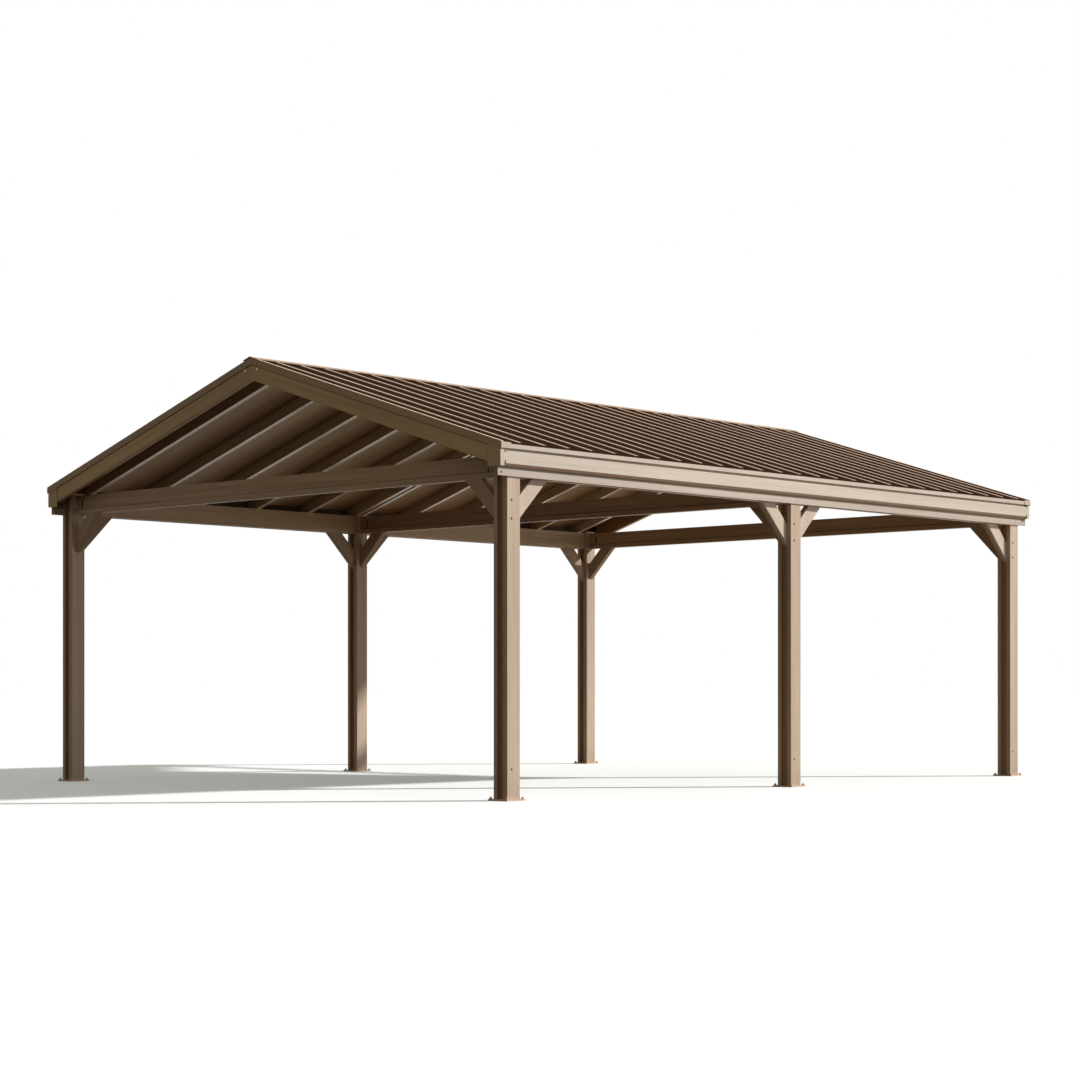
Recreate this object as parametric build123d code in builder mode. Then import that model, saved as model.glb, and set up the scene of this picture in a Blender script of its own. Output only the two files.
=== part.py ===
"""Open gabled carport: six channelled posts, tie and eave beams, knee braces and a seamed metal roof.

Millimetres. The origin is on the ground at the centre of the plan, X runs across the span,
Y along the ridge with the front gable at minus Y, and Z up.
"""
import os
from math import cos, radians, sin, tan

from build123d import *

# Posts, their side channels and base plates
post_width = 140
row_spacing = 5450
bay_length = 3450
channel_width = 60
channel_depth = 25
plate_width = 200
plate_thickness = 12
anchor_spacing = 168
anchor_hole_radius = 7
arris = 3

# Beams and knee braces
clear_height = 2400
beam_depth = 170
side_fit = 1
tie_web = 50
tie_flange = 66
tie_flange_height = 42
tie_slot_width = 14
tie_slot_height = 80
tie_slot_inset = 98
brace_inner_leg = 168
brace_outer_leg = 340
brace_thickness = 58

# Roof frame
pitch = 17.35
rafter_depth = 90
rafter_thickness = 45
rafter_spacing = 660
middle_rafter_offset = 40
ridge_board_thickness = 28
ridge_board_depth = 130
deck_thickness = 18

# Roof covering
sheet_thickness = 2
sheet_fold = 10
seam_spacing = 264
seam_width = 5
seam_height = 3.2
cap_base = 28
cap_top = 7
cap_thickness = 1.3
cap_setback = 3
ridge_gap = 1
ridge_cap_flange = 88
ridge_cap_thickness = 3
ridge_cap_overhang = 18
ridge_plate_width = 140
ridge_plate_thickness = 4

# Eaves
eave_board_thickness = 14
eave_board_show = 68
eave_board_joint = 2
fascia_thickness = 36
fascia_height = 114
fascia_arris = 5
fascia_tongue = 14
fascia_bevel_height = 20
fascia_bevel_depth = 14
kerf_width = 8
kerf_depth = 26
kerf_height = 40
kerf_top = 14
drip_thickness = 10
drip_rise = 197
drip_arris = 3

# Gables
gable_overhang = 120
barge_thickness = 45
barge_drop = 64
barge_end_inset = 86
barge_groove = 9
barge_groove_depth = 10
barge_joint = 8
tongue_setback = 10
verge_leg = 55
verge_thickness = 4
verge_top_thickness = 3
verge_flange = 30
verge_return = 104
verge_end_thickness = 3

# Places worked out from the sizes above
slope = radians(pitch)
row_x = row_spacing / 2
post_in_x = row_x - post_width / 2
post_out_x = row_x + post_width / 2
eave_board_x = post_out_x + eave_board_thickness
fascia_x = eave_board_x + fascia_thickness
tongue_x = eave_board_x + fascia_tongue
drip_x = fascia_x + drip_thickness
fold_x = drip_x + sheet_thickness
ridge_z = clear_height + beam_depth + row_x * tan(slope)
fascia_low = clear_height + eave_board_show
fascia_high = fascia_low + fascia_height
drip_low = clear_height + drip_rise
deck_low = rafter_depth
sheet_low = deck_low + deck_thickness
sheet_high = sheet_low + sheet_thickness
cap_height = seam_height + cap_thickness
cap_high = sheet_high + cap_height
verge_high = sheet_high + verge_top_thickness
gable_y = bay_length + post_width / 2 + gable_overhang
barge_back_y = gable_y - barge_thickness
verge_y = gable_y + verge_thickness
fold_y = verge_y - verge_return
barge_end_x = post_out_x - barge_end_inset
beam_thickness = channel_width - 2 * side_fit
seams_each_way = int((verge_y - verge_flange - cap_base / 2) // seam_spacing)
rafters_each_way = int((barge_back_y - rafter_thickness / 2) // rafter_spacing)
rows = {"front": -bay_length, "middle": 0, "rear": bay_length}
sides = {"left": -1, "right": 1}
ends = {"front": -1, "rear": 1}


def height_on_slope(x, offset):
    """Height at distance x from the ridge line, offset square above the underside of the rafters."""
    return ridge_z - x * tan(slope) + offset / cos(slope)


def slope_strip(side, x_in, x_out, low, high):
    """Corners of a strip that follows the roof slope, with plumb cuts at both ends."""
    return [
        (side * x_in, height_on_slope(x_in, low)),
        (side * x_out, height_on_slope(x_out, low)),
        (side * x_out, height_on_slope(x_out, high)),
        (side * x_in, height_on_slope(x_in, high)),
    ]


def extrude_along_ridge(points, y_from, y_to, mode=Mode.ADD):
    """Extrude an outline of the cross section from y_from to y_to, into the open part or out of it."""
    with BuildSketch(Plane.XZ.offset(-max(y_from, y_to))) as outline:
        with BuildLine():
            Polyline(*points, close=True)
        make_face()
    extrude(outline.sketch, amount=abs(y_to - y_from), mode=mode)


def keep(builder, name):
    """Label a finished piece and write it."""
    builder.part.label = name
    export_step(builder.part, f"parts/{name}.step")


os.makedirs("parts", exist_ok=True)

# Base plates with four anchor holes, under the posts
for row_name, y in rows.items():
    for side_name, side in sides.items():
        with BuildPart() as base_plate:
            with BuildSketch(Plane((side * row_x, y, 0))):
                Rectangle(plate_width, plate_width)
                with GridLocations(anchor_spacing, anchor_spacing, 2, 2):
                    Circle(anchor_hole_radius, mode=Mode.SUBTRACT)
            extrude(amount=plate_thickness)
        keep(base_plate, f"base_plate_{row_name}_{side_name}")

# Posts with a channel down the front and back faces, cut to the roof slope at the top
for row_name, y in rows.items():
    for side_name, side in sides.items():
        with BuildPart() as post:
            with BuildSketch(Plane((side * row_x, y, plate_thickness))) as section:
                Rectangle(post_width, post_width)
                chamfer(section.vertices(), arris)
                with GridLocations(0, post_width - channel_depth, 1, 2):
                    Rectangle(channel_width, channel_depth, mode=Mode.SUBTRACT)
            extrude(amount=ridge_z)
            roof_plane = Plane((0, 0, ridge_z), z_dir=(side * sin(slope), 0, cos(slope)))
            split(bisect_by=roof_plane, keep=Keep.BOTTOM)
        keep(post, f"post_{row_name}_{side_name}")

# Eave beams, one to a bay, let into the post channels and bevelled on top for the rafters
for side_name, side in sides.items():
    x_in = row_x - beam_thickness / 2
    x_out = row_x + beam_thickness / 2
    outline = [
        (side * x_in, clear_height),
        (side * x_out, clear_height),
        (side * x_out, height_on_slope(x_out, 0)),
        (side * x_in, height_on_slope(x_in, 0)),
    ]
    seat = post_width / 2 - channel_depth
    with BuildPart() as eave_beams:
        for end in ends.values():
            extrude_along_ridge(outline, end * seat, end * (bay_length - seat))
        chamfer(eave_beams.edges().filter_by(Axis.Y).group_by(Axis.Z)[0], arris)
    keep(eave_beams, f"eave_beams_{side_name}")

# Tie beams across the span, with a wider flange along the bottom and a strap slot near each end of the web
for row_name, y in rows.items():
    with BuildPart() as tie_beam:
        with BuildSketch(Plane((-post_in_x, y, clear_height), x_dir=(0, 1, 0), z_dir=(1, 0, 0))) as section:
            Rectangle(tie_web, beam_depth, align=(Align.CENTER, Align.MIN))
            Rectangle(tie_flange, tie_flange_height, align=(Align.CENTER, Align.MIN))
            chamfer(section.vertices().group_by(Axis.Y)[0], arris)
            chamfer(section.vertices().group_by(Axis.Y)[-1], arris)
        extrude(amount=2 * post_in_x)
        with BuildSketch(Plane.XZ.offset(-y - tie_web / 2)):
            slot_z = clear_height + tie_flange_height + tie_slot_height / 2
            with Locations((0, slot_z)):
                with GridLocations(2 * (post_in_x - tie_slot_inset), 0, 2, 1):
                    Rectangle(tie_slot_width, tie_slot_height)
        extrude(amount=tie_web, mode=Mode.SUBTRACT)
    keep(tie_beam, f"tie_beam_{row_name}")

# Knee braces: one under the tie beam and one along each eave beam that meets the post
for row_name, y in rows.items():
    for side_name, side in sides.items():
        with BuildPart() as knee_braces:
            with BuildSketch(Plane.XZ.offset(-y - brace_thickness / 2)):
                with BuildLine():
                    Polyline(
                        (side * post_in_x, clear_height - brace_inner_leg),
                        (side * post_in_x, clear_height - brace_outer_leg),
                        (side * (post_in_x - brace_outer_leg), clear_height),
                        (side * (post_in_x - brace_inner_leg), clear_height),
                        close=True,
                    )
                make_face()
            extrude(amount=brace_thickness)
            chamfer(knee_braces.edges().filter_by(Axis((0, 0, 0), (-side, 0, 1))), arris)
            for end in ends.values():
                if abs(y + end * bay_length) > bay_length:
                    continue
                face_y = y + end * post_width / 2
                with BuildSketch(Plane.YZ.offset(side * row_x - brace_thickness / 2)):
                    with BuildLine():
                        Polyline(
                            (face_y - end * channel_depth, clear_height - brace_inner_leg - channel_depth),
                            (face_y - end * channel_depth, clear_height - brace_outer_leg - channel_depth),
                            (face_y + end * brace_outer_leg, clear_height),
                            (face_y + end * brace_inner_leg, clear_height),
                            close=True,
                        )
                    make_face()
                extrude(amount=brace_thickness)
                chamfer(knee_braces.edges().filter_by(Axis((0, 0, 0), (0, end, 1))), arris)
        keep(knee_braces, f"knee_braces_{row_name}_{side_name}")

# Ridge board between the plumb-cut rafter heads
with BuildPart() as ridge_board:
    ridge_board_high = height_on_slope(ridge_board_thickness / 2, rafter_depth)
    with BuildSketch(Plane.XY.offset(ridge_board_high - ridge_board_depth)):
        Rectangle(ridge_board_thickness, 2 * barge_back_y)
    extrude(amount=ridge_board_depth)
keep(ridge_board, "ridge_board")

# Rafters on the eave beams, cut plumb at the ridge board and at the eave board's face,
# with a pair in place of one over the middle posts
for side_name, side in sides.items():
    rafter_outline = slope_strip(side, ridge_board_thickness / 2, eave_board_x, 0, rafter_depth)
    rafter_places = [-middle_rafter_offset, middle_rafter_offset]
    for step in range(1, rafters_each_way + 1):
        rafter_places += [-step * rafter_spacing, step * rafter_spacing]
    with BuildPart() as rafters:
        for y in rafter_places:
            extrude_along_ridge(rafter_outline, y - rafter_thickness / 2, y + rafter_thickness / 2)
    keep(rafters, f"rafters_{side_name}")

# Roof deck on the rafters
for side_name, side in sides.items():
    with BuildPart() as roof_deck:
        deck_outline = slope_strip(side, 0, fascia_x, deck_low, sheet_low)
        extrude_along_ridge(deck_outline, -barge_back_y, barge_back_y)
    keep(roof_deck, f"roof_deck_{side_name}")

# Metal roof sheets with upstanding seams and a lower edge folded down over the drip trim,
# and the folded caps that cover the seams
for side_name, side in sides.items():
    down_slope = (side * cos(slope), 0, -sin(slope))
    sheet_start_x = ridge_gap
    sheet_run = (drip_x - sheet_start_x) / cos(slope) - (sheet_thickness + seam_height) * tan(slope)
    head_z = height_on_slope(sheet_start_x, sheet_low)
    sheet_head = Plane((side * sheet_start_x, 0, head_z), x_dir=(0, side, 0), z_dir=down_slope)
    seam_count = 2 * seams_each_way + 1
    with BuildPart() as roof_sheet:
        with BuildSketch(sheet_head):
            Rectangle(2 * gable_y, sheet_thickness, align=(Align.CENTER, Align.MIN))
            with Locations((0, sheet_thickness + seam_height / 2)):
                with GridLocations(seam_spacing, 0, seam_count, 1):
                    Rectangle(seam_width, seam_height)
        extrude(amount=sheet_run)
        fold_low = height_on_slope(drip_x, sheet_low) - sheet_fold
        extrude_along_ridge(
            [
                (side * fascia_x, height_on_slope(fascia_x, sheet_low)),
                (side * drip_x, height_on_slope(drip_x, sheet_low)),
                (side * drip_x, fold_low),
                (side * fold_x, fold_low),
                (side * fold_x, height_on_slope(fold_x, sheet_high)),
                (side * fascia_x, height_on_slope(fascia_x, sheet_high)),
            ],
            -fold_y,
            fold_y,
        )
    keep(roof_sheet, f"roof_sheet_{side_name}")

    cap_foot = cap_thickness * (cap_base - cap_top) / (2 * cap_height)
    with BuildPart() as seam_caps:
        with BuildSketch(sheet_head.offset(ridge_cap_flange / 2)) as cap_section:
            for step in range(-seams_each_way, seams_each_way + 1):
                with BuildLine(Location((step * seam_spacing, sheet_thickness))):
                    Polyline(
                        (-cap_base / 2, 0),
                        (-cap_base / 2 + cap_foot, 0),
                        (-cap_top / 2, seam_height),
                        (cap_top / 2, seam_height),
                        (cap_base / 2 - cap_foot, 0),
                        (cap_base / 2, 0),
                        (cap_top / 2, cap_height),
                        (-cap_top / 2, cap_height),
                        close=True,
                    )
                make_face()
        extrude(amount=sheet_run - ridge_cap_flange / 2 - cap_setback)
    keep(seam_caps, f"seam_caps_{side_name}")

# Ridge cap on the seam caps, with a plate that closes the apex at each gable
with BuildPart() as ridge_cap:
    flange_x = ridge_cap_flange * cos(slope)
    cap_outer = cap_high + ridge_cap_thickness
    extrude_along_ridge(
        [
            (-flange_x, height_on_slope(flange_x, cap_high)),
            (0, height_on_slope(0, cap_high)),
            (flange_x, height_on_slope(flange_x, cap_high)),
            (flange_x, height_on_slope(flange_x, cap_outer)),
            (0, height_on_slope(0, cap_outer)),
            (-flange_x, height_on_slope(flange_x, cap_outer)),
        ],
        -gable_y - ridge_cap_overhang,
        gable_y + ridge_cap_overhang,
    )
    plate_x = ridge_plate_width / 2
    plate_low = verge_high - verge_leg
    for end in ends.values():
        extrude_along_ridge(
            [
                (-plate_x, height_on_slope(plate_x, plate_low)),
                (0, height_on_slope(0, plate_low)),
                (plate_x, height_on_slope(plate_x, plate_low)),
                (plate_x, height_on_slope(plate_x, cap_high)),
                (0, height_on_slope(0, cap_high)),
                (-plate_x, height_on_slope(plate_x, cap_high)),
            ],
            end * verge_y,
            end * (verge_y + ridge_plate_thickness),
        )
keep(ridge_cap, "ridge_cap")

# Barge boards on the gable ends, grooved below the flashings that fold over their top edge
# and down the joints with the fascia's end blocks
for end_name, end in ends.items():
    for side_name, side in sides.items():
        with BuildPart() as barge_board:
            barge_outline = slope_strip(side, 0, barge_end_x, -barge_drop, sheet_low)
            extrude_along_ridge(barge_outline, end * barge_back_y, end * gable_y)
            down_slope = Axis((0, 0, 0), (side * cos(slope), 0, -sin(slope)))
            chamfer(barge_board.edges().filter_by(down_slope).group_by(Axis.Z)[0], arris)
            groove_high = verge_high - verge_leg
            groove_outline = slope_strip(side, 0, barge_end_x, groove_high - barge_groove, groove_high)
            groove_back_y = gable_y - barge_groove_depth
            extrude_along_ridge(groove_outline, end * groove_back_y, end * gable_y, mode=Mode.SUBTRACT)
            joint_x = barge_end_x - barge_joint
            joint_outline = slope_strip(side, joint_x, barge_end_x, -barge_drop, groove_high)
            extrude_along_ridge(joint_outline, end * groove_back_y, end * gable_y, mode=Mode.SUBTRACT)
        keep(barge_board, f"barge_board_{end_name}_{side_name}")

        with BuildPart() as verge_flashing:
            leg_outline = slope_strip(side, 0, drip_x, verge_high - verge_leg, verge_high)
            extrude_along_ridge(leg_outline, end * gable_y, end * verge_y)
            flange_outline = slope_strip(side, 0, drip_x, sheet_high, verge_high)
            extrude_along_ridge(flange_outline, end * (verge_y - verge_flange), end * gable_y)
            end_x = drip_x + verge_end_thickness
            extrude_along_ridge(
                [
                    (side * drip_x, drip_low),
                    (side * end_x, drip_low),
                    (side * end_x, height_on_slope(end_x, sheet_low)),
                    (side * drip_x, height_on_slope(drip_x, sheet_low)),
                ],
                end * fold_y,
                end * verge_y,
            )
        keep(verge_flashing, f"verge_flashing_{end_name}_{side_name}")

# Eave boards on the outer post faces, in lengths that meet over the middle and rear posts
for side_name, side in sides.items():
    half_joint = eave_board_joint / 2
    lengths = [
        (-barge_back_y, -half_joint),
        (half_joint, bay_length - half_joint),
        (bay_length + half_joint, barge_back_y),
    ]
    with BuildPart() as eave_boards:
        for y_from, y_to in lengths:
            extrude_along_ridge(
                [
                    (side * post_out_x, clear_height),
                    (side * eave_board_x, clear_height),
                    (side * eave_board_x, height_on_slope(eave_board_x, 0)),
                    (side * post_out_x, height_on_slope(post_out_x, 0)),
                ],
                y_from,
                y_to,
            )
        for end in ends.values():
            extrude_along_ridge(
                [
                    (side * post_out_x, clear_height),
                    (side * eave_board_x, clear_height),
                    (side * eave_board_x, fascia_low),
                    (side * post_out_x, fascia_low),
                ],
                end * barge_back_y,
                end * (gable_y - tongue_setback),
            )
    keep(eave_boards, f"eave_boards_{side_name}")

# Fascia mouldings with a bevelled bottom edge and a tongue up to the deck behind the drip trim.
# Square blocks beside the barge boards end them, with a kerf above and below each joint.
for side_name, side in sides.items():
    with BuildPart() as fascia:
        with BuildSketch(Plane.XZ.offset(-barge_back_y)):
            with BuildLine():
                tongue_inner = (side * eave_board_x, height_on_slope(eave_board_x, deck_low))
                tongue_outer = (side * tongue_x, height_on_slope(tongue_x, deck_low))
                bottom_inner = (side * eave_board_x, fascia_low)
                Polyline(
                    (side * (fascia_x - fascia_bevel_depth), fascia_low),
                    bottom_inner,
                    tongue_inner,
                    tongue_outer,
                    (side * tongue_x, fascia_high),
                    (side * (fascia_x - fascia_arris), fascia_high),
                    (side * fascia_x, fascia_high - fascia_arris),
                    (side * fascia_x, fascia_low + fascia_bevel_height),
                    close=True,
                )
            make_face()
        extrude(amount=2 * barge_back_y)
        for end in ends.values():
            extrude_along_ridge(
                [
                    (side * barge_end_x, fascia_low),
                    (side * fascia_x, fascia_low),
                    (side * fascia_x, height_on_slope(fascia_x, sheet_low)),
                    (side * barge_end_x, height_on_slope(barge_end_x, sheet_low)),
                ],
                end * barge_back_y,
                end * gable_y,
            )
        kerf_x = side * (fascia_x - kerf_depth / 2) - kerf_depth / 2
        with BuildSketch(Plane.YZ.offset(kerf_x)):
            with Locations((0, fascia_low)):
                with GridLocations(2 * barge_back_y - kerf_width, 0, 2, 1):
                    Rectangle(kerf_width, kerf_height, align=(Align.CENTER, Align.MIN))
            with Locations((0, fascia_high)):
                with GridLocations(2 * barge_back_y - kerf_width, 0, 2, 1):
                    Rectangle(kerf_width, kerf_top, align=(Align.CENTER, Align.MAX))
        extrude(amount=kerf_depth, mode=Mode.SUBTRACT)
    keep(fascia, f"fascia_{side_name}")

# Drip trims under the lower edge of the sheets
for side_name, side in sides.items():
    with BuildPart() as drip_trim:
        extrude_along_ridge(
            [
                (side * fascia_x, drip_low),
                (side * (drip_x - drip_arris), drip_low),
                (side * drip_x, drip_low + drip_arris),
                (side * drip_x, height_on_slope(drip_x, sheet_low)),
                (side * fascia_x, height_on_slope(fascia_x, sheet_low)),
            ],
            -gable_y,
            gable_y,
        )
    keep(drip_trim, f"drip_trim_{side_name}")
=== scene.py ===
from math import cos, radians, sin

import bmesh
import bpy
from mathutils import Matrix, Vector


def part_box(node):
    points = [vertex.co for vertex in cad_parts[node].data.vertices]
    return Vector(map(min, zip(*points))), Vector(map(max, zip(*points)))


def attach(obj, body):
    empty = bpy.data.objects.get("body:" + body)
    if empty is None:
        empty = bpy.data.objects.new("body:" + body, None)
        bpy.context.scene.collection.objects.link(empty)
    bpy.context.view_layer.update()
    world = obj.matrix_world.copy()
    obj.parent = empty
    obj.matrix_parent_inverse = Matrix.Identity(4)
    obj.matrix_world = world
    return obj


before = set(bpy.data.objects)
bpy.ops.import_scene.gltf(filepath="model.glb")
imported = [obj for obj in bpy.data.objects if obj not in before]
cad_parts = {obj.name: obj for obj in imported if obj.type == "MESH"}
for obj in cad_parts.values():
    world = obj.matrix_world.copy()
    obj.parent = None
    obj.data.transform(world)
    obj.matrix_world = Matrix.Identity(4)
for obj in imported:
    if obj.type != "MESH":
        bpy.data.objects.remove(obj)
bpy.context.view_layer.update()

# Base plates: one square steel plate under each post, cut from 12 mm plate and coated in the posts' brown.
# Each is held down by four anchor studs, with a washer and a hexagon nut on every stud, in the same coat.
# A fastener's stages are given from the face up, each as its radius, height, number of corners and rim.
sides = {"left": -1, "right": 1}
rows = ("front", "middle", "rear")
across = (1, 0, 0)
upright = (0, 0, 1)
anchor_inset = 0.016
anchor_washer = (0.0135, 0.0025, 20, 0.0006)
anchor_nut = (0.0115, 0.0090, 6, 0.0012)
anchor_stud = (0.0060, 0.0065, 14, 0.0018)
turn_between_heads = 2.4


def paint(red, green, blue):
    """A colour as a screen shows it, from 0 to 255, as the linear colour that a shader takes."""
    return (*(((level / 255 + 0.055) / 1.055) ** 2.4 for level in (red, green, blue)), 1)


def grey(level):
    """A grey of the given linear level."""
    return (level, level, level, 1)


def add_node(tree, kind, inputs=None, **settings):
    """A shader node with its settings made, and each input given a value or linked to a socket."""
    node = tree.nodes.new(kind)
    for setting, choice in settings.items():
        setattr(node, setting, choice)
    for name, value in (inputs or {}).items():
        if isinstance(value, bpy.types.NodeSocket):
            tree.links.new(value, node.inputs[name])
        else:
            node.inputs[name].default_value = value
    return node


def place_on_object(tree):
    """The object coordinates, in metres."""
    return add_node(tree, "ShaderNodeTexCoord").outputs["Object"]


def streaks(tree, place, size, turn=(0, 0, 0), detail=4, roughness=0.55):
    """Noise in patches of a length, width and depth in metres, with the length along the turned X axis."""
    spread = add_node(tree, "ShaderNodeMapping", {"Vector": place, "Rotation": turn, "Scale": size},
                      vector_type="TEXTURE")
    noise = add_node(tree, "ShaderNodeTexNoise", {"Vector": spread.outputs["Vector"], "Scale": 1,
                                                  "Detail": detail, "Roughness": roughness})
    return noise.outputs["Fac"]


def shade(tree, amount, dark, pale, start=0.3, end=0.7):
    """A ramp from a dark colour to a pale one, as the amount rises from start to end."""
    ramp = add_node(tree, "ShaderNodeValToRGB", {"Fac": amount})
    ends = ramp.color_ramp.elements
    ends[0].position, ends[0].color = start, dark
    ends[1].position, ends[1].color = end, pale
    return ramp.outputs["Color"]


def between(tree, amount, low, high, start=0.3, end=0.7):
    """A number that goes from low to high as the amount rises from start to end."""
    return add_node(tree, "ShaderNodeMapRange", {"Value": amount, "From Min": start, "From Max": end,
                                                 "To Min": low, "To Max": high}).outputs["Result"]


def blend(tree, mode, share, under, over):
    """Two colours put together in one of the blend modes, on the mix node's sockets for colours."""
    return add_node(tree, "ShaderNodeMix", {0: share, 6: under, 7: over},
                    data_type="RGBA", blend_type=mode).outputs[2]


def new_material(name):
    """A material, with its node tree and its shader."""
    material = bpy.data.materials.new(name)
    material.use_nodes = True
    return material, material.node_tree, material.node_tree.nodes["Principled BSDF"]


def coated_metal(name, colour, dust, flow, roughness=0.5, specular=0.3, metallic=0.0):
    """Metal under a coloured coat: faint mottling, dust drawn out along the way the rain runs, fine peel."""
    material, tree, finish = new_material(name)
    place = place_on_object(tree)
    turn = Vector(flow).to_track_quat("X", "Z").to_euler()
    mottle = streaks(tree, place, size=(0.6, 0.25, 0.25), turn=turn, detail=5)
    runs = streaks(tree, place, size=(1.4, 0.03, 0.03), turn=turn, detail=3)
    peel = streaks(tree, place, size=(0.004, 0.004, 0.004), turn=turn, detail=2)
    coat = blend(tree, "MULTIPLY", 1, colour, shade(tree, mottle, dark=grey(0.86), pale=grey(1.12)))
    dusty = blend(tree, "MIX", between(tree, runs, low=0, high=0.22, start=0.5, end=0.75), coat, dust)
    gloss = between(tree, mottle, low=roughness - 0.06, high=roughness + 0.08)
    bump = add_node(tree, "ShaderNodeBump", {"Height": peel, "Strength": 0.12, "Distance": 0.0006})
    tree.links.new(dusty, finish.inputs["Base Color"])
    tree.links.new(gloss, finish.inputs["Roughness"])
    tree.links.new(bump.outputs["Normal"], finish.inputs["Normal"])
    finish.inputs["Specular IOR Level"].default_value = specular
    finish.inputs["Metallic"].default_value = metallic
    return material


def dress(names, material):
    """The named CAD nodes take the material."""
    for name in names:
        for material_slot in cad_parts[name].material_slots:
            material_slot.material = material


def finished_mesh(name, builder):
    """The mesh that a bmesh has built."""
    mesh = bpy.data.meshes.new(name)
    builder.to_mesh(mesh)
    builder.free()
    return mesh


def put_in_scene(name, contents):
    """An object in the scene for a mesh, a lamp or a lens."""
    thing = bpy.data.objects.new(name, contents)
    bpy.context.scene.collection.objects.link(thing)
    return thing


def stacked_head(stages):
    """The pattern of a fastener: discs and hexagons stacked up the Z axis, each with its top rim bevelled."""
    pattern = bmesh.new()
    foot = 0
    for radius, height, corners, rim in stages:
        lift = Matrix.Translation((0, 0, foot + height / 2))
        made = bmesh.ops.create_cone(pattern, cap_ends=True, segments=corners, radius1=radius, radius2=radius,
                                     depth=height, matrix=lift)
        foot += height
        top = {corner for corner in made["verts"] if corner.co.z > foot - height / 2}
        rim_edges = [edge for edge in pattern.edges if set(edge.verts) <= top]
        bmesh.ops.bevel(pattern, geom=rim_edges, offset=rim, offset_type="OFFSET", affect="EDGES",
                        segments=2, profile=0.5, material=-1)
    return finished_mesh("fastener_pattern", pattern)


def set_fasteners(name, stages, places, material):
    """Copies of one fastener joined in one piece: each place is where its head sits and the way it faces."""
    pattern = stacked_head(stages)
    joined = bmesh.new()
    for count, (point, facing) in enumerate(places):
        first = len(joined.verts)
        joined.from_mesh(pattern)
        joined.verts.ensure_lookup_table()
        move = Matrix.Translation(point)
        turn = Vector(facing).to_track_quat("Z", "Y").to_matrix().to_4x4()
        spin = Matrix.Rotation(turn_between_heads * count, 4, "Z")
        bmesh.ops.transform(joined, matrix=move @ turn @ spin, verts=joined.verts[first:])
    mesh = finished_mesh(name, joined)
    mesh.materials.append(material)
    piece = put_in_scene(name, mesh)
    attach(piece, "root")


plate_coat = coated_metal("plate_coat", colour=paint(210, 185, 162), dust=paint(216, 194, 172), flow=across)
dress([f"base_plate_{row}_{side}" for row in rows for side in sides], plate_coat)

anchor_places = []
for row in rows:
    for side in sides:
        plate_low, plate_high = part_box(f"base_plate_{row}_{side}")
        for x in (plate_low.x + anchor_inset, plate_high.x - anchor_inset):
            for y in (plate_low.y + anchor_inset, plate_high.y - anchor_inset):
                anchor_places.append(((x, y, plate_high.z), upright))
set_fasteners("anchor_nuts", (anchor_washer, anchor_nut, anchor_stud), anchor_places, plate_coat)

# Posts: square sawn timbers, stained light brown, with a channel routed down their front and back faces.
# The channels keep a darker stain, the feet are grimy from splashes, and a screw pins each post low down.
post_low, post_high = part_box("post_rear_right")
row_x = (post_low.x + post_high.x) / 2
row_y = (post_low.y + post_high.y) / 2
channel_width = 0.060
channel_edge = 0.0005
splash_height = 0.20
splash_size = (0.05, 0.05, 0.12)
low_screw = ((0.0085, 0.0020, 14, 0.0008), (0.0050, 0.0020, 6, 0.0006))
low_screw_z = 0.235
screw_line = -0.020


def grain_along(direction):
    """Wood coordinates in metres whose X axis lies along the direction that the timber was sawn in."""
    turn = Vector(direction).to_track_quat("X", "Z").to_euler()

    def coordinates(tree):
        return add_node(tree, "ShaderNodeMapping", {"Vector": place_on_object(tree), "Rotation": turn},
                        vector_type="TEXTURE").outputs["Vector"]

    return coordinates


def timber(name, grain, pale, deep, roughness=0.5, specular=0.12):
    """Stained softwood: slow changes of tone, growth streaks and fine fibres, the last two in relief."""
    material, tree, finish = new_material(name)
    wood = grain(tree)
    tone = streaks(tree, wood, size=(2.6, 0.30, 0.30), detail=2)
    growth = streaks(tree, wood, size=(1.5, 0.022, 0.022), detail=4, roughness=0.6)
    fibre = streaks(tree, wood, size=(0.16, 0.0035, 0.0035), detail=3, roughness=0.65)
    colour = shade(tree, growth, dark=deep, pale=pale, start=0.28, end=0.66)
    colour = blend(tree, "MULTIPLY", 1, colour, shade(tree, tone, dark=grey(0.90), pale=grey(1.10)))
    colour = blend(tree, "MULTIPLY", 1, colour, shade(tree, fibre, dark=grey(0.90), pale=grey(1.08)))
    gloss = between(tree, growth, low=roughness + 0.08, high=roughness - 0.06)
    relief = blend(tree, "MIX", 0.6, growth, fibre)
    bump = add_node(tree, "ShaderNodeBump", {"Height": relief, "Strength": 0.25, "Distance": 0.0015})
    tree.links.new(colour, finish.inputs["Base Color"])
    tree.links.new(gloss, finish.inputs["Roughness"])
    tree.links.new(bump.outputs["Normal"], finish.inputs["Normal"])
    finish.inputs["Specular IOR Level"].default_value = specular
    return material


def reckon(tree, operation, *values):
    """One step of arithmetic on sockets or numbers."""
    return add_node(tree, "ShaderNodeMath", dict(enumerate(values)), operation=operation).outputs["Value"]


def place_along(tree, axis):
    """One of the three object coordinates."""
    return add_node(tree, "ShaderNodeSeparateXYZ", {"Vector": place_on_object(tree)}).outputs[axis]


def from_middle(tree, axis):
    """How far a point is from the middle of the carport along one axis."""
    return reckon(tree, "ABSOLUTE", place_along(tree, axis))


def stain(material, where, colour, share=1):
    """A second coat over a finished material: it takes this share of the colour where the mask is one."""
    tree = material.node_tree
    base = tree.nodes["Principled BSDF"].inputs["Base Color"]
    if share < 1:
        where = reckon(tree, "MULTIPLY", where, share)
    tree.links.new(blend(tree, "MIX", where, base.links[0].from_socket, colour), base)


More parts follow.
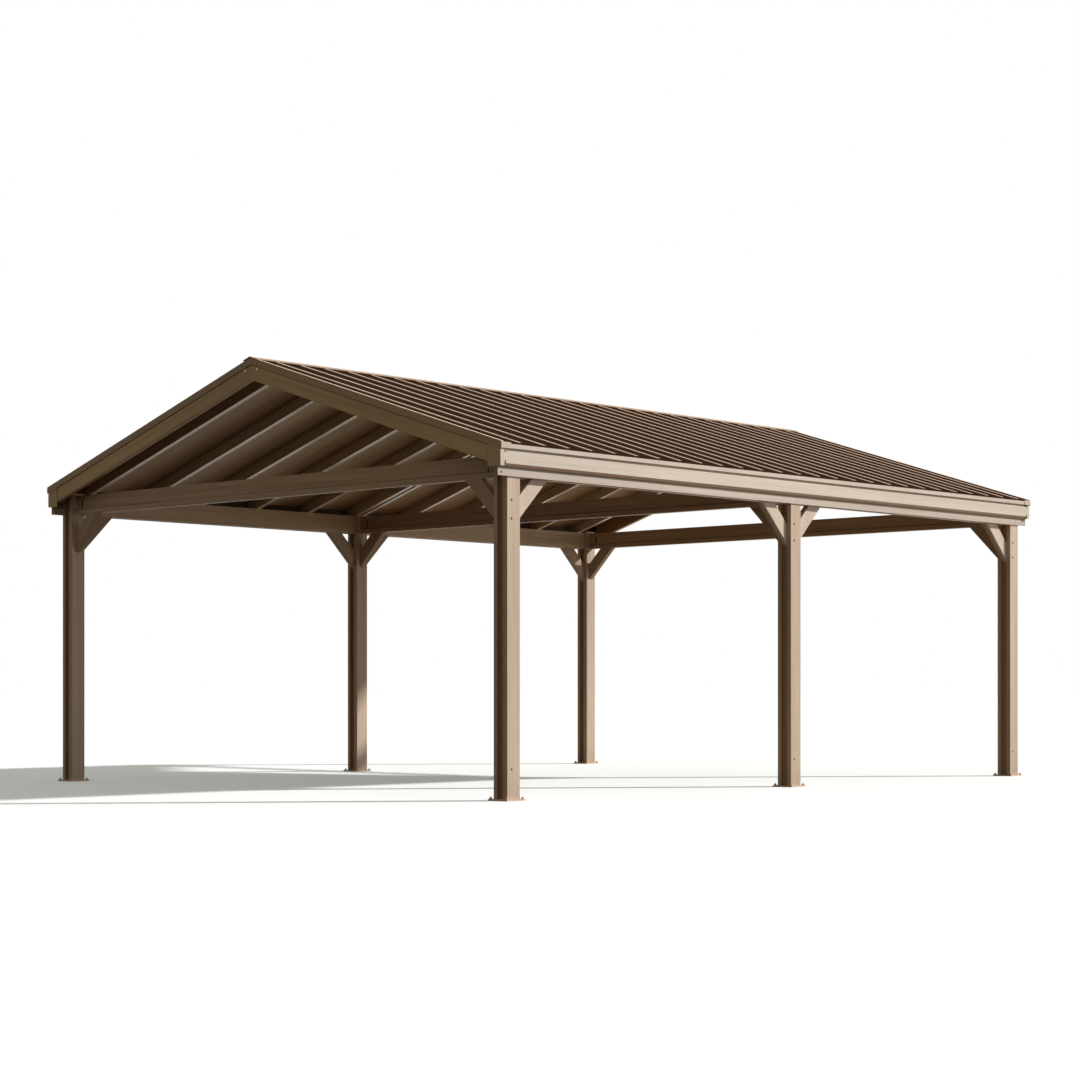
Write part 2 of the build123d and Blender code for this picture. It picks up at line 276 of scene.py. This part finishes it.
def on_outer_faces(heights):
    """Places for fasteners on the posts' outer faces, a little in front of the middle of each post."""
    return [((way * post_high.x, y + screw_line, height), (way, 0, 0))
            for way in sides.values() for y in (-row_y, 0, row_y) for height in heights]


post_timber = timber("post_timber", grain_along(upright), pale=paint(198, 178, 158),
                     deep=paint(184, 162, 141), specular=0.06)
tree = post_timber.node_tree
from_centre = reckon(tree, "ABSOLUTE", reckon(tree, "SUBTRACT", from_middle(tree, "X"), row_x))
in_channel = reckon(tree, "LESS_THAN", from_centre, channel_width / 2 + channel_edge)
stain(post_timber, in_channel, paint(169, 136, 104), share=0.9)
splash = streaks(tree, place_on_object(tree), splash_size)
near_foot = between(tree, place_along(tree, "Z"), low=0.35, high=0, start=post_low.z, end=splash_height)
stain(post_timber, reckon(tree, "MULTIPLY", near_foot, splash), paint(112, 92, 72))
dress([f"post_{row}_{side}" for row in rows for side in sides], post_timber)

fastener_steel = coated_metal("fastener_steel", colour=paint(104, 80, 60), dust=paint(132, 110, 90),
                              flow=upright, roughness=0.42, specular=0.5)
set_fasteners("post_screws", low_screw, on_outer_faces([low_screw_z]), fastener_steel)

# Tie beams and eave beams: planed timbers let into the posts, stained a deeper brown than the posts.
# Each tie beam has a batten down both sides of its bottom edge, with a line of painted shade in the corner
# above it, and near its left end a dark patch, the painted shade of a slot. The eave beams, which run along
# the sides, are of paler wood, a tone that is partly painted light on their shaded inner faces.
along = (0, 1, 0)
tie_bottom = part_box("tie_beam_front")[0].z
batten_height = 0.042
shade_line_height = 0.007
slot_from_post = 0.098
slot_shade_width = 0.009
slot_height = 0.080
tie_timber = timber("tie_timber", grain_along(across), pale=paint(186, 157, 128), deep=paint(158, 128, 98))
tree = tie_timber.node_tree
above_batten = reckon(tree, "SUBTRACT", place_along(tree, "Z"), tie_bottom + batten_height)
on_batten = reckon(tree, "LESS_THAN", above_batten, 0)
stain(tie_timber, on_batten, paint(206, 178, 148), share=0.15)
# Painted shade: a dark line in the corner just above the batten.
painted_shade_corner = reckon(tree, "COMPARE", above_batten, shade_line_height / 2, shade_line_height / 2)
stain(tie_timber, painted_shade_corner, paint(66, 46, 32), share=0.55)
# Painted shade: a dark patch near the left end, standing in for the shade in a slot.
beside_slot = reckon(tree, "COMPARE", place_along(tree, "X"), slot_from_post - post_low.x, slot_shade_width)
level_with_slot = reckon(tree, "COMPARE", above_batten, slot_height / 2, slot_height / 2)
stain(tie_timber, reckon(tree, "MULTIPLY", beside_slot, level_with_slot), paint(52, 36, 25))
dress([f"tie_beam_{row}" for row in rows], tie_timber)

# Painted light: the eave beams' paler wood also stands in for light on their shaded inner faces.
eave_beam_timber_and_painted_light = timber("eave_beam_timber_and_painted_light", grain_along(along), pale=paint(212, 189, 164),
                          deep=paint(194, 170, 144))
dress([f"eave_beams_{side}" for side in sides], eave_beam_timber_and_painted_light)

# Knee braces: short planks at 45 degrees, let into the posts' channels and screwed up under the beams.
# Two bolts through the post hold each pair of braces, with washers on the post's outer face. The inner
# sides are painted a warmer, darker brown as painted shade.
post_inner_x = post_low.x
bay_length = row_y
brace_bolt = ((0.0105, 0.0020, 18, 0.0007), (0.0070, 0.0030, 6, 0.0010))
brace_bolt_heights = (2.229, 2.091)


def brace_grain(tree):
    """Wood coordinates that climb at 45 degrees: inwards on the braces across the span, and along the eave
    away from the post on those that stand under the eave beams."""
    y = place_along(tree, "Y")
    z = place_along(tree, "Z")
    out = from_middle(tree, "X")
    inwards = reckon(tree, "MULTIPLY", out, -1)
    from_post = reckon(tree, "ABSOLUTE", reckon(tree, "WRAP", y, bay_length / 2, -bay_length / 2))
    under_eave = reckon(tree, "GREATER_THAN", out, post_inner_x)
    level = add_node(tree, "ShaderNodeMix", {"Factor": under_eave, "A": inwards, "B": from_post})
    climb = level.outputs["Result"]
    wood = add_node(tree, "ShaderNodeCombineXYZ", {"X": reckon(tree, "ADD", z, climb),
                                                   "Y": reckon(tree, "SUBTRACT", z, climb),
                                                   "Z": reckon(tree, "ADD", y, out)})
    return wood.outputs["Vector"]


brace_timber = timber("brace_timber", brace_grain, pale=paint(203, 186, 168), deep=paint(188, 169, 150))
# Painted shade: the braces' inner sides are painted darker.
painted_shade_inner_side = reckon(brace_timber.node_tree, "LESS_THAN", from_middle(brace_timber.node_tree, "X"), row_x)
stain(brace_timber, painted_shade_inner_side, paint(150, 114, 76), share=0.6)
dress([f"knee_braces_{row}_{side}" for row in rows for side in sides], brace_timber)

bolt_coat = coated_metal("bolt_coat", colour=paint(150, 110, 88), dust=paint(166, 134, 112), flow=upright)
set_fasteners("brace_bolts", brace_bolt, on_outer_faces(brace_bolt_heights), bolt_coat)

# Ridge board and rafters: planed timbers in the same stain under a satin varnish, the rafters nailed
# to the ridge board, with their lower ends resting on the eave beams. Their bottom faces are painted pale
# as a painted highlight, and made smoother.
roof_pitch = radians(17.35)
down_slope = {side: Vector((way * cos(roof_pitch), 0, -sin(roof_pitch))) for side, way in sides.items()}
rafter_pale = paint(196, 168, 136)
rafter_deep = paint(172, 143, 112)
painted_highlight_colour = paint(248, 230, 206)
bottom_face_smoothness = 0.24
nearly_square = 0.9


def facing_along(tree, axis):
    """One on the faces that look along the axis, either way."""
    normal = add_node(tree, "ShaderNodeNewGeometry").outputs["Normal"]
    part = add_node(tree, "ShaderNodeSeparateXYZ", {"Vector": normal}).outputs[axis]
    return reckon(tree, "GREATER_THAN", reckon(tree, "ABSOLUTE", part), nearly_square)


for side in sides:
    rafter_timber = timber(f"rafter_timber_{side}", grain_along(down_slope[side]), rafter_pale, rafter_deep,
                           specular=0.45)
    tree = rafter_timber.node_tree
    # Painted highlight: the rafters' level faces, the bottoms among them, are painted pale and made smoother.
    painted_highlight_faces = facing_along(tree, "Z")
    stain(rafter_timber, painted_highlight_faces, painted_highlight_colour, share=0.95)
    roughness = tree.nodes["Principled BSDF"].inputs["Roughness"]
    smoother = reckon(tree, "MULTIPLY", painted_highlight_faces, bottom_face_smoothness)
    tree.links.new(reckon(tree, "SUBTRACT", roughness.links[0].from_socket, smoother), roughness)
    dress([f"rafters_{side}"], rafter_timber)
dress(["ridge_board"], timber("ridge_timber", grain_along(along), rafter_pale, rafter_deep))

# Roof deck: wide panels of veneered board on top of the rafters, laid with their face grain down the slope
# and nailed to every rafter. Only the underside shows: its tone is painted light and shade, pale near the
# front gable and at the front of each bay, darkening towards the rear of the roof and towards the rafter
# behind.
rafter_spacing = 0.660
deck_pale = paint(246, 227, 200)
deck_deep = paint(234, 212, 182)
rear_painted_shade_colour = paint(124, 88, 46)
rear_painted_shade_start = -2.6
rear_painted_shade_end = 0.6
bay_painted_half_shade_colour = paint(158, 118, 74)
bay_half_shade_start = 0.35 * rafter_spacing
bay_half_shade_end = 0.64 * rafter_spacing
bay_painted_deep_shade_colour = paint(76, 53, 29)
bay_deep_shade_start = 0.60 * rafter_spacing
bay_deep_shade_end = 0.96 * rafter_spacing
for side in sides:
    deck_timber = timber(f"deck_timber_{side}", grain_along(down_slope[side]), deck_pale, deck_deep,
                         roughness=0.6, specular=0.1)
    tree = deck_timber.node_tree
    along_roof = place_along(tree, "Y")
    along_bay = reckon(tree, "FLOORED_MODULO", along_roof, rafter_spacing)
    # Painted shade: darker towards the rear of the roof, and across each bay towards the rafter behind.
    rear_painted_shade = between(tree, along_roof, low=0, high=0.6, start=rear_painted_shade_start, end=rear_painted_shade_end)
    stain(deck_timber, rear_painted_shade, rear_painted_shade_colour)
    bay_painted_half_shade = between(tree, along_bay, low=0, high=0.95, start=bay_half_shade_start, end=bay_half_shade_end)
    stain(deck_timber, bay_painted_half_shade, bay_painted_half_shade_colour)
    bay_painted_deep_shade = between(tree, along_bay, low=0, high=0.9, start=bay_deep_shade_start, end=bay_deep_shade_end)
    stain(deck_timber, bay_painted_deep_shade, bay_painted_deep_shade_colour)
    dress([f"roof_deck_{side}"], deck_timber)

# Roof sheets: dark brown coated steel in long pans, folded up to a standing seam at both edges.
# The seams are closed by folded caps in bare tan metal, pressed on from above.
sheet_colour = paint(53, 37, 27)
sheet_dust = paint(62, 46, 35)
cap_colour = paint(194, 165, 140)
cap_dust = paint(176, 147, 122)
for side in sides:
    sheet_coat = coated_metal(f"sheet_coat_{side}", sheet_colour, sheet_dust, down_slope[side],
                              roughness=0.8, specular=0.0)
    dress([f"roof_sheet_{side}"], sheet_coat)
    cap_metal = coated_metal(f"cap_metal_{side}", cap_colour, cap_dust, down_slope[side],
                             roughness=0.4, metallic=1.0)
    dress([f"seam_caps_{side}"], cap_metal)

# Ridge cap: one folded strip along the ridge in a coat close to the seam caps' colour, with end plates.
# Its flanges lap over the heads of the seams on both slopes and are crimped down on them.
ridge_coat = coated_metal("ridge_metal", colour=paint(178, 146, 114), dust=paint(150, 124, 98), flow=along,
                          roughness=0.45, specular=0.12)
dress(["ridge_cap"], ridge_coat)

# Barge boards and verge flashings: a planed board down each gable slope, and a folded metal strip over it.
# Two bright screws at each gable hold the boards' heads to the ridge board. The boards' inner faces are
# painted dark as painted shade, and the joint at the right-hand eave is painted near-white as painted light
# that cancels the shade in its groove.
gables = {"front": -1, "rear": 1}
barge_low, barge_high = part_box("barge_board_front_right")
barge_outer_y = -barge_low.y
barge_inner_y = -barge_high.y
barge_pale = paint(198, 168, 126)
barge_deep = paint(182, 151, 111)
inner_skin = 0.001
painted_light_joint_width = 0.0085
verge_colour = paint(176, 150, 120)
verge_dust = paint(160, 136, 112)
drip_colour = paint(188, 173, 156)
barge_screw = ((0.0075, 0.0015, 16, 0.0005), (0.0045, 0.0030, 6, 0.0008))
barge_screw_x = 0.077
barge_screw_z = 3.436
for side in sides:
    barge_timber = timber(f"barge_timber_{side}", grain_along(down_slope[side]), barge_pale, barge_deep)
    tree = barge_timber.node_tree
    # Painted shade: the boards' inner faces are painted dark.
    inner_face = reckon(tree, "LESS_THAN", from_middle(tree, "Y"), barge_inner_y + inner_skin)
    stain(barge_timber, inner_face, paint(112, 82, 50), share=0.85)
    if side == "right":
        # Painted light: the joint's groove at the right-hand eave is painted near-white to cancel its shade.
        in_painted_light_joint = reckon(tree, "GREATER_THAN", place_along(tree, "X"), barge_high.x - painted_light_joint_width)
        stain(barge_timber, in_painted_light_joint, paint(255, 240, 206))
    dress([f"barge_board_{gable}_{side}" for gable in gables], barge_timber)

    verge_coat = coated_metal(f"verge_coat_{side}", verge_colour, verge_dust, down_slope[side], specular=0.1)
    # Painted light: the flashing's top faces are painted paler than its shaded front leg; its end faces take
    # the drip trim's colour.
    stain(verge_coat, facing_along(verge_coat.node_tree, "X"), drip_colour)
    stain(verge_coat, facing_along(verge_coat.node_tree, "Z"), paint(232, 206, 178))
    dress([f"verge_flashing_{gable}_{side}" for gable in gables], verge_coat)

barge_screw_places = [((way * barge_screw_x, gable * barge_outer_y, barge_screw_z), (0, gable, 0))
                      for way in sides.values() for gable in gables.values()]
zinc = coated_metal("bright_zinc", colour=paint(200, 184, 160), dust=paint(180, 164, 142), flow=upright,
                    roughness=0.35, metallic=1.0)
set_fasteners("barge_screws", barge_screw, barge_screw_places, zinc)

# Eave boards, fascias and drip trims: planed boards in a paler stain along both eaves, and a metal trim.
# The eave boards are fixed to the posts, with a screw at the front end, the moulded fascias to the rafter
# feet and the trims over them. The fascias' backs are painted dark as painted shade.
eave_low, eave_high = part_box("eave_boards_right")
fascia_low, fascia_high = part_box("fascia_right")
groove_shade = 0.016
fascia_height = 0.114
bevel_height = 0.020
face_skin = 0.0006
kerf_width = 0.008
kerf_shade_width = 0.0065
kerf_low = 0.040
kerf_high = 0.014
eave_screw = ((0.0100, 0.0015, 16, 0.0006), (0.0060, 0.0015, 6, 0.0005))
eave_screw_z = 2.426
eave_screw_inset = 0.035
eave_timber = timber("eave_timber", grain_along(along), pale=paint(192, 179, 165), deep=paint(181, 166, 151))
tree = eave_timber.node_tree
stain(eave_timber, facing_along(tree, "Y"), barge_pale, share=0.9)
# Painted shadow: the eave boards darken in a band just under the fascias.
painted_fascia_shadow = between(tree, place_along(tree, "Z"), low=0, high=0.7, start=fascia_low.z - groove_shade,
                       end=fascia_low.z)
stain(eave_timber, painted_fascia_shadow, paint(90, 70, 52))
dress([f"eave_boards_{side}" for side in sides], eave_timber)

fascia_timber = timber("fascia_timber", grain_along(along), pale=paint(204, 191, 176),
                       deep=paint(192, 177, 161))
tree = fascia_timber.node_tree
z = place_along(tree, "Z")
out = from_middle(tree, "X")
behind_face = reckon(tree, "LESS_THAN", out, fascia_high.x - face_skin)
# The fascias' bottom bevel is stained a darker brown: partly its own brown, partly painted shade.
on_bevel = reckon(tree, "LESS_THAN", z, fascia_low.z + bevel_height)
stain(fascia_timber, reckon(tree, "MULTIPLY", on_bevel, behind_face), paint(128, 92, 58), share=0.75)
stain(fascia_timber, facing_along(tree, "Y"), paint(190, 160, 119), share=0.9)
# Painted shade: a dark band wider than each kerf, at its top and bottom ends, stands in for the shade in the
# slit.
at_kerf = reckon(tree, "COMPARE", from_middle(tree, "Y"), barge_inner_y - kerf_width / 2, kerf_shade_width)
below = reckon(tree, "LESS_THAN", z, fascia_low.z + kerf_low)
above = reckon(tree, "GREATER_THAN", z, fascia_low.z + fascia_height - kerf_high)
in_kerf = reckon(tree, "MULTIPLY", at_kerf, reckon(tree, "MAXIMUM", below, above))
stain(fascia_timber, in_kerf, paint(50, 35, 24))
# Painted shade: the fascias' back faces are painted dark.
at_back = reckon(tree, "LESS_THAN", out, eave_high.x + inner_skin)
back_face = reckon(tree, "MULTIPLY", at_back, facing_along(tree, "X"))
stain(fascia_timber, back_face, paint(60, 42, 27), share=0.9)
dress([f"fascia_{side}" for side in sides], fascia_timber)

drip_coat = coated_metal("drip_coat", drip_colour, dust=paint(180, 164, 146), flow=along)
dress([f"drip_trim_{side}" for side in sides], drip_coat)
eave_screw_places = [((way * eave_high.x, eave_low.y + eave_screw_inset, eave_screw_z), (way, 0, 0))
                     for way in sides.values()]
set_fasteners("eave_screws", eave_screw, eave_screw_places, fastener_steel)

# Studio floor, light and background: a pale floor that the camera and the gloss see as white and that
# throws more light back from under and behind the object than from in front of it, one large soft lamp
# from the right and behind, a low softbox to the right, and a weak warm fill all round.
floor_size = 600
floor_white = paint(253, 253, 253)
glow_colour = (0.88, 1.0, 0.99, 1)
glow_strength = 0.22
bounce_near = paint(70, 62, 51)
bounce_far = paint(138, 127, 112)
bounce_start = -4.2
bounce_end = -1.5
sun_heading = Vector((0.635, 0.772, 0))
sun_height = radians(28)
sun_strength = 4.12
sun_width = radians(2.5)
softbox_place = (26, 12, 2.2)
softbox_size = (18, 4)
softbox_power = 1310
fill_colour = (1.0, 0.92, 0.78, 1)
fill_strength = 0.24


def seen_plainly(tree):
    """One for the rays that show the background: from the camera, off gloss, and through glass."""
    ray = add_node(tree, "ShaderNodeLightPath").outputs
    seen = reckon(tree, "MAXIMUM", ray["Is Camera Ray"], ray["Is Glossy Ray"])
    return reckon(tree, "MAXIMUM", seen, ray["Is Transmission Ray"])


ground = bmesh.new()
bmesh.ops.create_grid(ground, x_segments=1, y_segments=1, size=floor_size / 2)
floor = put_in_scene("studio_floor", finished_mesh("studio_floor", ground))
floor_finish, tree, default_shader = new_material("floor_finish")
tree.nodes.remove(default_shader)
behind = between(tree, place_along(tree, "Y"), low=0, high=1, start=bounce_start, end=bounce_end)
bounce_colour = shade(tree, behind, dark=bounce_near, pale=bounce_far, start=0, end=1)
bounce = add_node(tree, "ShaderNodeBsdfDiffuse", {"Color": bounce_colour}).outputs["BSDF"]
white = add_node(tree, "ShaderNodeBsdfDiffuse", {"Color": floor_white}).outputs["BSDF"]
glow = add_node(tree, "ShaderNodeEmission", {"Color": glow_colour, "Strength": glow_strength})
bright = add_node(tree, "ShaderNodeAddShader", {0: white, 1: glow.outputs["Emission"]}).outputs["Shader"]
both = add_node(tree, "ShaderNodeMixShader", {0: seen_plainly(tree), 1: bounce, 2: bright}).outputs["Shader"]
tree.links.new(both, tree.nodes["Material Output"].inputs["Surface"])
floor.data.materials.append(floor_finish)

lamp = bpy.data.lights.new("studio_lamp", "SUN")
lamp.energy = sun_strength
lamp.angle = sun_width
lamp_stand = put_in_scene("studio_lamp", lamp)
towards_lamp = sun_heading.normalized() * cos(sun_height) + Vector((0, 0, sin(sun_height)))
lamp_stand.rotation_euler = towards_lamp.to_track_quat("Z", "Y").to_euler()

softbox = bpy.data.lights.new("softbox", "AREA")
softbox.shape = "RECTANGLE"
softbox.size, softbox.size_y = softbox_size
softbox.energy = softbox_power
softbox_stand = put_in_scene("softbox", softbox)
softbox_stand.location = softbox_place
softbox_stand.rotation_euler = Vector(softbox_place).to_track_quat("Z", "Y").to_euler()
softbox_stand.visible_camera = False

backdrop = bpy.data.worlds.new("studio_backdrop")
backdrop.use_nodes = True
bpy.context.scene.world = backdrop
tree = backdrop.node_tree
tree.nodes.remove(tree.nodes["Background"])
fill = add_node(tree, "ShaderNodeBackground", {"Color": fill_colour, "Strength": fill_strength})
plain_white = add_node(tree, "ShaderNodeBackground", {"Color": grey(1), "Strength": 1})
sky = add_node(tree, "ShaderNodeMixShader", {0: seen_plainly(tree), 1: fill.outputs["Background"],
                                             2: plain_white.outputs["Background"]})
tree.links.new(sky.outputs["Shader"], tree.nodes["World Output"].inputs["Surface"])

# Camera: level, low and far off the front right corner, with the lens shifted up as the photograph's is.
# The focal length and the row of the horizon are in pixels of the square picture, the places in metres.
sensor = 36
picture = 1080
focal_pixels = 2313.9
horizon_row = 690.6
camera_place = (14.6772, -15.7772, 0.8168)
camera_heading = radians(43.293)
lens = bpy.data.cameras.new("camera")
lens.sensor_width = sensor
lens.lens = focal_pixels * sensor / picture
lens.shift_y = (horizon_row - picture / 2) / picture
lens.clip_end = 2 * floor_size
camera = put_in_scene("camera", lens)
camera.location = camera_place
camera.rotation_euler = (radians(90), 0, camera_heading)
bpy.context.scene.camera = camera
bpy.context.scene.view_settings.view_transform = "Standard"
